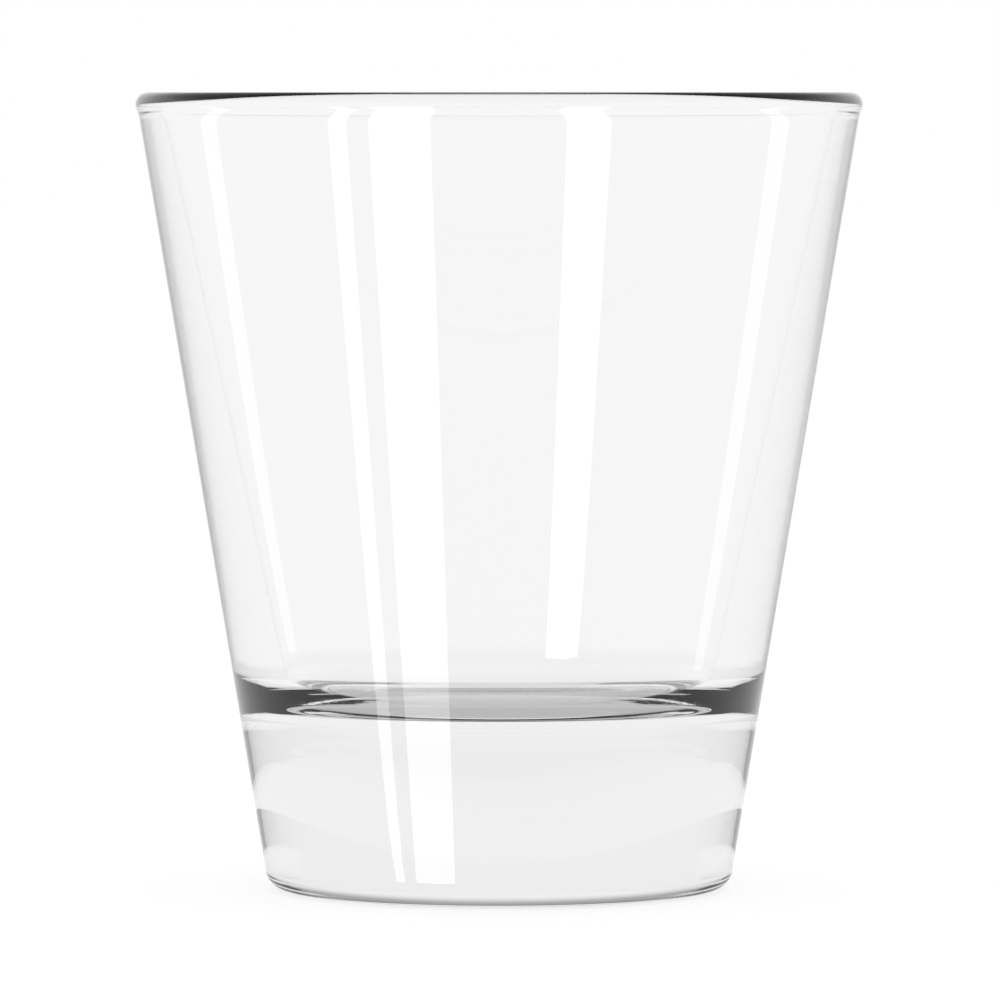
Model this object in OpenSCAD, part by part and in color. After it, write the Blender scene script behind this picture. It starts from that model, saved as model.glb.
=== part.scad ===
// Rocks glass: a low tapered tumbler with a heavy solid base and a fire-rounded lip.
// One lathed profile, cut by two level planes into the base, the wall and the rim.
// Millimetres, +Z up, origin at the centre of the circle that it stands on.

/* [Body] */
// Overall height
glass_h = 96.5; // [85:0.5:110]
// Outer diameter at the lip
lip_d = 88; // [80:0.5:100]
// Diameter of the outer cone where it meets the table, before the heel is rounded
foot_d = 56; // [46:0.5:66]

/* [Glass thickness] */
// Thickness of the wall at the floor of the well
wall_t = 6.4; // [4:0.1:9]
// Thickness of the solid base under the middle of the well
sham_h = 21.2; // [12:0.2:32]

/* [Lip] */
// Thickness of the lip, which is rounded over in one arc
lip_t = 2.9; // [2:0.1:4]
// How far the lip stands out from the outer wall
bead_h = 0.2; // [0.1:0.05:0.4]
// Radius of the hollow blend between the outer wall and the lip
bead_r = 6; // [3:0.5:8]

/* [Well and heel] */
// Radius of the bowl that the floor of the well is a part of
floor_r = 180; // [120:5:400]
// Radius of the inside corner, between the floor of the well and the inner wall
well_r = 6; // [3:0.2:9]
// Radius of the heel, between the foot and the outer wall
heel_r = 2.4; // [1:0.1:5]

/* [Underside] */
// Width of the flat ring that the glass stands on
ring_w = 3; // [1.5:0.1:6]
// Depth of the shallow hollow inside the ring
hollow_h = 0.8; // [0.3:0.1:2]

/* [Zones] */
// Height of the rim below the top of the lip
rim_h = 4; // [3.5:0.1:10]

/* [Hidden] */
$fn = 180;
glass_color = [0.86, 0.93, 0.94, 0.45];

// The lip's circle
lip_r = lip_t / 2;
lip_x = lip_d / 2 - lip_r;
lip_z = glass_h - lip_r;

// The outer cone runs up from the foot, and passes the lip's centre at this distance
out_w = lip_r - bead_h;
out_dx = lip_x - foot_d / 2;
out_a = atan2(out_dx, lip_z) + asin(out_w / norm([out_dx, lip_z]));

// Centre of the blend's circle, which touches the outer cone and the lip
blend_out = out_w + bead_r;
blend_down = sqrt(pow(lip_r + bead_r, 2) - pow(blend_out, 2));
blend_x = lip_x + blend_out * cos(out_a) - blend_down * sin(out_a);
blend_z = lip_z - blend_out * sin(out_a) - blend_down * cos(out_a);

// The inner cone runs up from the corner of the well, and touches the lip's circle on its inside
well_x = foot_d / 2 + sham_h * tan(out_a) - wall_t;
in_dx = lip_x - well_x;
in_dz = lip_z - sham_h;
in_a = atan2(in_dx, in_dz) - asin(lip_r / norm([in_dx, in_dz]));

// The corner's circle touches the inner cone and, from inside, the bowl of the floor,
// so the height of its centre over the floor solves a quadratic
corner_0 = well_x - well_r / cos(in_a);
lean = tan(in_a);
quad_a = 1 + lean * lean;
quad_b = floor_r - corner_0 * lean;
quad_c = corner_0 * corner_0 + well_r * (2 * floor_r - well_r);
corner_h = (quad_b - sqrt(quad_b * quad_b - quad_a * quad_c)) / quad_a;
corner_x = corner_0 + corner_h * lean;
corner_z = sham_h + corner_h;

// Centre of the bowl, and where the line from it through the centre of the corner reaches the table
bowl_z = sham_h + floor_r;
bowl_x = corner_x * bowl_z / (bowl_z - corner_z);

// Centre of the heel's arc
heel_x = foot_d / 2 + heel_r * tan(out_a) - heel_r / cos(out_a);

// The underside is a shallow part of a sphere inside the standing ring
hollow_x = heel_x - ring_w;
hollow_r = (hollow_x * hollow_x + hollow_h * hollow_h) / (2 * hollow_h);

// Levels of the two planes between the zones
wall_z = corner_z;
rim_z = glass_h - rim_h;

// Half of the glass's section, in the radius and height plane
module glass_profile() {
    difference() {
        union() {
            polygon([
                [0, 0],
                [heel_x, 0],
                [heel_x + heel_r * cos(out_a), heel_r - heel_r * sin(out_a)],
                [blend_x - bead_r * cos(out_a), blend_z + bead_r * sin(out_a)],
                [blend_x, blend_z],
                [lip_x, lip_z],
                [lip_x - lip_r * cos(in_a), lip_z + lip_r * sin(in_a)],
                [corner_x + well_r * cos(in_a), corner_z - well_r * sin(in_a)],
                [corner_x, corner_z],
                [0, corner_z]
            ]);
            translate([heel_x, heel_r]) circle(r = heel_r);
            translate([lip_x, lip_z]) circle(r = lip_r);
        }
        translate([blend_x, blend_z]) circle(r = bead_r);
        translate([corner_x, corner_z]) circle(r = well_r);
        intersection() {
            translate([0, bowl_z]) circle(r = floor_r);
            polygon([[0, 0], [bowl_x, 0], [0, bowl_z]]);
        }
        translate([0, hollow_h - hollow_r]) circle(r = hollow_r);
    }
}

// The part of the lathed glass between two levels
module zone(low, high) {
    color(glass_color)
        rotate_extrude()
            intersection() {
                glass_profile();
                translate([0, low]) square([lip_d, high - low]);
            }
}

// Solid base with the rounded heel, the standing ring and the bowl at the bottom of the well
module base() {
    zone(0, wall_z);
}

// Tapered side, thicker towards the base
module wall() {
    zone(wall_z, rim_z);
}

// Top of the side with the rounded lip
module rim() {
    zone(rim_z, glass_h);
}

base();
wall();
rim();
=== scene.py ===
import math

import bmesh
import bpy
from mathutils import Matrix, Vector


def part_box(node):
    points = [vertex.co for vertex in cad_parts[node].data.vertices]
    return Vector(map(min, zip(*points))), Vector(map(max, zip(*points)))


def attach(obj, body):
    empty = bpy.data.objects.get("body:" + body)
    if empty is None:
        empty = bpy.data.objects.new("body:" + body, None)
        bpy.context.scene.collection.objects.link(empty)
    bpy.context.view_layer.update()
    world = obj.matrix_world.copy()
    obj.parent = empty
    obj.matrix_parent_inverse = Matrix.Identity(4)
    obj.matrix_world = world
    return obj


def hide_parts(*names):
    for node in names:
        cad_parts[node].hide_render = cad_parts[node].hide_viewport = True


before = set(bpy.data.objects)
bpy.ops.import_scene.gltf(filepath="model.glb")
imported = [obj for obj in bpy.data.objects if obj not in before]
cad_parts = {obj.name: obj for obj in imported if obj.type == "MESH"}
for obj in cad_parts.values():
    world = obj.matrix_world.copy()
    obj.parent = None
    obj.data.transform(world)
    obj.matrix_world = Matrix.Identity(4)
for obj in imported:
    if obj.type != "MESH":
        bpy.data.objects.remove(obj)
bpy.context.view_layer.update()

# Sizes of the glass in metres. The height and the lip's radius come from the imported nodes.
MM = 0.001
rim_low, rim_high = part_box("rim")
GLASS_H = rim_high.z
LIP_R = max(rim_high.x, rim_high.y)
FOOT_R = 28.0 * MM
LIP_T = 2.9 * MM
BEAD_H = 0.2 * MM
BEAD_R = 6.0 * MM
WALL_T = 6.4 * MM
SHAM_H = 21.2 * MM
FLOOR_R = 180.0 * MM
HEEL_R = 2.4 * MM
WELL_R = 6.0 * MM
RING_W = 3.0 * MM
HOLLOW_H = 0.8 * MM
LATHE_STEPS = 384

# The outer cone passes inside the lip's outer edge by the height of the bead
lip_r = LIP_T / 2
lip = Vector((LIP_R - lip_r, GLASS_H - lip_r))
out_d = lip - Vector((FOOT_R, 0))
OUT_A = math.atan2(out_d.x, out_d.y) + math.asin((lip_r - BEAD_H) / out_d.length)


def cone_r(z):
    """Radius of the outer cone at a height."""
    return FOOT_R + z * math.tan(OUT_A)


def arc(centre, r, start, end, steps):
    """Points on a circle in the (radius, height) plane, from one angle to another."""
    angles = [start + (end - start) * i / steps for i in range(steps + 1)]
    return [(centre[0] + r * math.cos(a), centre[1] + r * math.sin(a)) for a in angles]


def line(p, q, step):
    """Points strictly between two ends, close to the ends first so that the arcs there shade cleanly."""
    length = math.dist(p, q)
    near = 0.15 * MM
    count = max(2, round((length - 2 * near) / step))
    along = [near + (length - 2 * near) * i / count for i in range(count + 1)]
    return [(p[0] + (q[0] - p[0]) * s / length, p[1] + (q[1] - p[1]) * s / length) for s in along]


def glass_profile():
    """Half of the section as (radius, height), from the underside's centre round to the well's centre."""
    quarter = math.pi / 2
    well_x = cone_r(SHAM_H) - WALL_T
    in_d = lip - Vector((well_x, SHAM_H))
    in_a = math.atan2(in_d.x, in_d.y) - math.asin(lip_r / in_d.length)

    # The shallow hollow of the underside, and the heel
    heel_x = cone_r(HEEL_R) - HEEL_R / math.cos(OUT_A)
    hollow_x = heel_x - RING_W
    hollow_r = (hollow_x ** 2 + HOLLOW_H ** 2) / (2 * HOLLOW_H)
    hollow_a = math.asin(hollow_x / hollow_r)
    hollow = arc((0, HOLLOW_H - hollow_r), hollow_r, quarter, quarter - hollow_a, 16)
    heel = arc((heel_x, HEEL_R), HEEL_R, -quarter, -OUT_A, 16)

    # The blend's circle touches the outer cone and the lip
    blend_out = lip_r - BEAD_H + BEAD_R
    blend_down = math.sqrt((lip_r + BEAD_R) ** 2 - blend_out ** 2)
    outward = Vector((math.cos(OUT_A), -math.sin(OUT_A)))
    upward = Vector((math.sin(OUT_A), math.cos(OUT_A)))
    blend_c = lip + outward * blend_out - upward * blend_down
    lip_a = math.atan2(lip.y - blend_c.y, lip.x - blend_c.x)
    blend = arc(blend_c, BEAD_R, math.pi - OUT_A, lip_a, 10)
    top = arc(lip, lip_r, lip_a - math.pi, math.pi - in_a, 44)

    # The corner's circle touches the inner cone and, from inside, the bowl of the floor
    k = well_x - WELL_R / math.cos(in_a)
    t = math.tan(in_a)
    half_b = FLOOR_R - k * t
    c = k * k + FLOOR_R ** 2 - (FLOOR_R - WELL_R) ** 2
    rise = (half_b - math.sqrt(half_b ** 2 - (1 + t * t) * c)) / (1 + t * t)
    corner_c = Vector((k + rise * t, SHAM_H + rise))
    bowl_c = Vector((0, SHAM_H + FLOOR_R))
    floor_a = math.atan2(corner_c.y - bowl_c.y, corner_c.x)
    corner = arc(corner_c, WELL_R, -in_a, floor_a, 24)
    floor = arc(bowl_c, FLOOR_R, floor_a, -quarter, 24)
    floor[-1] = (0.0, SHAM_H)
    return (hollow + line(hollow[-1], heel[0], 1.0 * MM) + heel + line(heel[-1], blend[0], 2.0 * MM)
            + blend + top[1:] + line(top[-1], corner[0], 2.0 * MM) + corner + floor[1:])


def add_object(name, mesh):
    """A new object in the scene, with its origin on the axis of the glass."""
    obj = bpy.data.objects.new(name, mesh)
    bpy.context.scene.collection.objects.link(obj)
    return obj


def lathe(name, profile, steps):
    """A closed mesh of revolution whose profile starts and ends on the axis."""
    bm = bmesh.new()
    rings = []
    for r, z in profile:
        if r < 1e-7:
            rings.append([bm.verts.new((0, 0, z))])
            continue
        turn = [2 * math.pi * i / steps for i in range(steps)]
        rings.append([bm.verts.new((r * math.cos(a), r * math.sin(a), z)) for a in turn])
    for low, high in zip(rings, rings[1:]):
        for i in range(steps):
            j = (i + 1) % steps
            if len(low) == 1:
                bm.faces.new((low[0], high[j], high[i]))
            elif len(high) == 1:
                bm.faces.new((low[i], low[j], high[0]))
            else:
                bm.faces.new((low[i], low[j], high[j], high[i]))
    bmesh.ops.recalc_face_normals(bm, faces=bm.faces)
    for face in bm.faces:
        face.smooth = True
    mesh = bpy.data.meshes.new(name)
    bm.to_mesh(mesh)
    bm.free()
    return add_object(name, mesh)


def new_tree(name):
    """An empty material, with its node tree and its output."""
    mat = bpy.data.materials.new(name)
    mat.use_nodes = True
    mat.node_tree.nodes.clear()
    out = mat.node_tree.nodes.new("ShaderNodeOutputMaterial")
    return mat, mat.node_tree, out


def feed(tree, socket, value):
    """Set a socket to a number, or link another socket to it."""
    if isinstance(value, (int, float)):
        socket.default_value = value
    else:
        tree.links.new(value, socket)


def math_node(tree, operation, a, b):
    """One Math node. Each input is a number or a socket."""
    node = tree.nodes.new("ShaderNodeMath")
    node.operation = operation
    feed(tree, node.inputs[0], a)
    feed(tree, node.inputs[1], b)
    return node.outputs[0]


def ramp(tree, value, from_min, from_max, to_min, to_max):
    """A smooth step from one value to another."""
    node = tree.nodes.new("ShaderNodeMapRange")
    node.interpolation_type = "SMOOTHSTEP"
    for name, number in zip(("Value", "From Min", "From Max", "To Min", "To Max"),
                            (value, from_min, from_max, to_min, to_max)):
        feed(tree, node.inputs[name], number)
    return node.outputs[0]


def mix_value(tree, factor, a, b):
    """The first value where the factor is 0, and the second where it is 1."""
    mix = tree.nodes.new("ShaderNodeMix")
    feed(tree, mix.inputs[0], factor)
    feed(tree, mix.inputs[2], a)
    feed(tree, mix.inputs[3], b)
    return mix.outputs[0]


def mix_shader(tree, factor, a, b):
    """The first shader where the factor is 0, and the second where it is 1."""
    mix = tree.nodes.new("ShaderNodeMixShader")
    feed(tree, mix.inputs[0], factor)
    tree.links.new(a, mix.inputs[1])
    tree.links.new(b, mix.inputs[2])
    return mix.outputs[0]


def axis_distance(tree):
    """Distance from the axis of the glass, height and position. Every object has its origin on that axis."""
    coords = tree.nodes.new("ShaderNodeTexCoord").outputs["Object"]
    split = tree.nodes.new("ShaderNodeSeparateXYZ")
    tree.links.new(coords, split.inputs[0])
    x2 = math_node(tree, "MULTIPLY", split.outputs["X"], split.outputs["X"])
    y2 = math_node(tree, "MULTIPLY", split.outputs["Y"], split.outputs["Y"])
    return math_node(tree, "POWER", math_node(tree, "ADD", x2, y2), 0.5), split.outputs["Z"], coords


def noise(tree, vector, scale, detail):
    """A smooth random value from 0 to 1, with so many waves to a metre."""
    node = tree.nodes.new("ShaderNodeTexNoise")
    tree.links.new(vector, node.inputs["Vector"])
    node.inputs["Scale"].default_value = scale
    node.inputs["Detail"].default_value = detail
    return node.outputs["Fac"]


# Glass: waves and ripples to a metre, how deep they are, and the scuffs on the ring that it stands on
GLASS_IOR = 1.52
WAVE_SCALE = 60.0
RIPPLE_SCALE = 380.0
RIPPLE_SHARE = 0.15
WAVE_DEPTH = 0.02 * MM
SCUFF_SCALE = 900.0
SCUFF_ROUGHNESS = 0.16
SCUFF_LOW = 0.3 * MM
SCUFF_HIGH = 1.0 * MM
SHADOW_CLEAR = 0.75
ABSORPTION_GREY = 0.5
ABSORPTION_DENSITY = 2.6


def clear_glass():
    """Clear soda-lime glass: faint waves from the mould, and a foot that is scuffed where it stands."""
    mat, tree, out = new_tree("clear_glass")
    nodes, links = tree.nodes, tree.links
    radius, height, position = axis_distance(tree)

    # Long waves that run up the side, and finer ripples that run round it
    stretch = nodes.new("ShaderNodeMapping")
    links.new(position, stretch.inputs["Vector"])
    stretch.inputs["Scale"].default_value = (1.0, 1.0, 0.3)
    round_axis = nodes.new("ShaderNodeCombineXYZ")
    links.new(radius, round_axis.inputs["X"])
    links.new(height, round_axis.inputs["Y"])
    waves = noise(tree, stretch.outputs[0], WAVE_SCALE, 0.0)
    ripples = noise(tree, round_axis.outputs[0], RIPPLE_SCALE, 0.0)
    bump = nodes.new("ShaderNodeBump")
    bump.inputs["Strength"].default_value = 1.0
    bump.inputs["Distance"].default_value = WAVE_DEPTH
    fine = math_node(tree, "MULTIPLY", ripples, RIPPLE_SHARE)
    feed(tree, bump.inputs["Height"], math_node(tree, "ADD", waves, fine))

    # Scuffs on the ring that it stands on
    low = ramp(tree, height, SCUFF_LOW, SCUFF_HIGH, 1.0, 0.0)
    speckle = ramp(tree, noise(tree, position, SCUFF_SCALE, 2.0), 0.4, 0.62, 0.0, SCUFF_ROUGHNESS)
    scuffs = math_node(tree, "MULTIPLY", low, speckle)

    # Light passes on to the shadow nearly unchanged, and long ways through the glass darken a little
    shader = nodes.new("ShaderNodeBsdfPrincipled")
    shader.inputs["Base Color"].default_value = (1, 1, 1, 1)
    shader.inputs["IOR"].default_value = GLASS_IOR
    shader.inputs["Transmission Weight"].default_value = 1.0
    links.new(scuffs, shader.inputs["Roughness"])
    links.new(bump.outputs[0], shader.inputs["Normal"])
    path = nodes.new("ShaderNodeLightPath")
    clear = nodes.new("ShaderNodeBsdfTransparent")
    clear.inputs["Color"].default_value = (SHADOW_CLEAR, SHADOW_CLEAR, SHADOW_CLEAR, 1)
    links.new(mix_shader(tree, path.outputs["Is Shadow Ray"], shader.outputs[0], clear.outputs[0]),
              out.inputs["Surface"])
    absorb = nodes.new("ShaderNodeVolumeAbsorption")
    absorb.inputs["Color"].default_value = (ABSORPTION_GREY, ABSORPTION_GREY, ABSORPTION_GREY, 1)
    absorb.inputs["Density"].default_value = ABSORPTION_DENSITY
    links.new(absorb.outputs[0], out.inputs["Volume"])
    return mat


glass = lathe("glass", glass_profile(), LATHE_STEPS)
glass.data.materials.append(clear_glass())
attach(glass, "root")
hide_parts("base", "wall", "rim")

# Camera: level with the lip and tilted down a few degrees, with the focal length in pixels of the picture
FOCAL_PX = 8397.0
IMAGE_PX = 1000
EYE = Vector((0.11 * MM, -1.0178, GLASS_H))
PITCH = 2.78
cam = bpy.data.cameras.new("camera")
cam.sensor_width = 36.0
cam.lens = cam.sensor_width * FOCAL_PX / IMAGE_PX
cam.clip_end = 20
camera = bpy.data.objects.new("camera", cam)
camera.location = EYE
camera.rotation_euler = (math.radians(90 - PITCH), 0, 0)
bpy.context.scene.collection.objects.link(camera)
bpy.context.scene.camera = camera
bpy.context.scene.view_settings.view_transform = "Standard"

# Studio: a white room, a pale table and five strip lights that lie on the table
WHITE = 1.0
PANEL = 0.94
TABLE_Z = -0.20 * MM
STRIP_Z = 0.0


def mirrored(facing, z):
    """The point of the strips' plane that the outer cone mirrors, so many degrees round from the front."""
    a = math.radians(facing)
    spot = Vector((cone_r(z) * math.sin(a), -cone_r(z) * math.cos(a), z))
    normal = Vector((math.sin(a) * math.cos(OUT_A), -math.cos(a) * math.cos(OUT_A), -math.sin(OUT_A)))
    back = (spot - EYE).reflect(normal)
    return spot + back * ((STRIP_Z - z) / back.z)


def strip_light(name, corners, level):
    """A flat light that the outside of the glass mirrors. It isn't seen by itself or through the glass."""
    mat, tree, out = new_tree(name)
    path = tree.nodes.new("ShaderNodeLightPath")
    clear = tree.nodes.new("ShaderNodeBsdfTransparent")
    emit = tree.nodes.new("ShaderNodeEmission")
    emit.inputs["Strength"].default_value = level
    tree.links.new(mix_shader(tree, path.outputs["Is Transmission Ray"], emit.outputs[0], clear.outputs[0]),
                   out.inputs["Surface"])
    mesh = bpy.data.meshes.new(name)
    mesh.from_pydata([tuple(c) for c in corners], [], [tuple(range(len(corners)))])
    mesh.materials.append(mat)
    obj = add_object(name, mesh)
    obj.visible_camera = False
    obj.visible_diffuse = False
    obj.visible_shadow = False


def by_path(tree, camera_level, glass_level, other):
    """One value for the camera, one for light that the glass passed on or mirrored, and one for the rest."""
    path = tree.nodes.new("ShaderNodeLightPath")
    value = other
    for ray, level in (("Is Glossy Ray", glass_level), ("Is Transmission Ray", glass_level),
                       ("Is Camera Ray", camera_level)):
        value = mix_value(tree, path.outputs[ray], value, level)
    return value


# World: a white room whose ceiling is dimmer than its walls, in two steps between three elevations
CEILING_LOW, CEILING_MID, CEILING_TOP = (math.sin(math.radians(angle)) for angle in (12, 36, 60))
CEILING_LEVEL = 0.38
OVERHEAD_SHARE = 0.3
ROOM_AMBIENT = 0.5
world = bpy.data.worlds.new("studio")
bpy.context.scene.world = world
world.use_nodes = True
wt = world.node_tree
up = wt.nodes.new("ShaderNodeSeparateXYZ")
wt.links.new(wt.nodes.new("ShaderNodeTexCoord").outputs["Generated"], up.inputs[0])
low_ceiling = ramp(wt, up.outputs["Z"], CEILING_LOW, CEILING_MID, PANEL, CEILING_LEVEL)
high_ceiling = ramp(wt, up.outputs["Z"], CEILING_MID, CEILING_TOP, 1.0, OVERHEAD_SHARE)
room = math_node(wt, "MULTIPLY", low_ceiling, high_ceiling)
wt.links.new(by_path(wt, WHITE, room, ROOM_AMBIENT), wt.nodes["Background"].inputs["Strength"])
wt.nodes["Background"].inputs["Color"].default_value = (1, 1, 1, 1)

# Table: the camera sees it with the shadow of the glass, and the glass shows it with a painted shadow that is
# dimmer close to the foot
TABLE_R = 6.0
TABLE_ALBEDO = 0.25
TABLE_GLOW = 0.80
TABLE_AMBIENT = 0.80
# Painted shadow round the foot, which only the glass shows: this level within the inner radius, fading out by
# the outer radius
PAINTED_SHADOW_LEVEL = 0.5
PAINTED_SHADOW_INNER = 22 * MM
PAINTED_SHADOW_OUTER = 45 * MM
bm = bmesh.new()
bmesh.ops.create_circle(bm, cap_ends=True, radius=TABLE_R, segments=96)
mesh = bpy.data.meshes.new("table")
bm.to_mesh(mesh)
bm.free()
table = add_object("table", mesh)
table.location.z = TABLE_Z
mat, tt, out = new_tree("table")
from_axis = axis_distance(tt)[0]
# Painted shadow: the table is darker close to the foot for rays that the glass passed on or mirrored
painted_shadow = ramp(tt, from_axis, PAINTED_SHADOW_INNER, PAINTED_SHADOW_OUTER, PAINTED_SHADOW_LEVEL, PANEL)
emit = tt.nodes.new("ShaderNodeEmission")
feed(tt, emit.inputs["Strength"], by_path(tt, TABLE_GLOW, painted_shadow, TABLE_AMBIENT))
diffuse = tt.nodes.new("ShaderNodeBsdfDiffuse")
albedo = tt.nodes.new("ShaderNodeCombineColor")
for socket in albedo.inputs[:3]:
    feed(tt, socket, by_path(tt, TABLE_ALBEDO, 0.0, 0.0))
tt.links.new(albedo.outputs[0], diffuse.inputs["Color"])
add = tt.nodes.new("ShaderNodeAddShader")
tt.links.new(emit.outputs[0], add.inputs[0])
tt.links.new(diffuse.outputs[0], add.inputs[1])
tt.links.new(add.outputs[0], out.inputs["Surface"])
table.data.materials.append(mat)

# Strip lights, which the outer face mirrors as white stripes:
# height in mm and the facing angles of the two edges at the top and at the foot of the stripe, then the level
STRIP_LEVEL = 4.0
SIDE_LEVEL = 1.95
STRIPS = [
    ((95, -20.5, -10.6), (3, -20, -10.5), STRIP_LEVEL),
    ((95, -27.3, -24.2), (3, -25.1, -22.9), STRIP_LEVEL),
    ((95, 10.5, 17.6), (30, 9.5, 16.2), STRIP_LEVEL),
    ((95, -54.3, -50.1), (30, -49.3, -46.6), SIDE_LEVEL),
    ((95, 47.6, 52), (28, 44.8, 47.5), SIDE_LEVEL),
]
for i, ((top, top_a, top_b), (foot, foot_a, foot_b), level) in enumerate(STRIPS):
    places = ((top_a, top), (foot_a, foot), (foot_b, foot), (top_b, top))
    strip_light(f"strip_{i}", [mirrored(facing, z * MM) for facing, z in places], level)

# Soft light from overhead, which only the table's shadow needs
SUN_ENERGY = 1.6
SUN_ANGLE = 100
sun = bpy.data.lights.new("overhead", "SUN")
sun.energy = SUN_ENERGY
sun.angle = math.radians(SUN_ANGLE)
sun_obj = bpy.data.objects.new("overhead", sun)
sun_obj.location = (0, 0, 1)
sun_obj.visible_glossy = False
sun_obj.visible_transmission = False
sun_obj.visible_camera = False
bpy.context.scene.collection.objects.link(sun_obj)
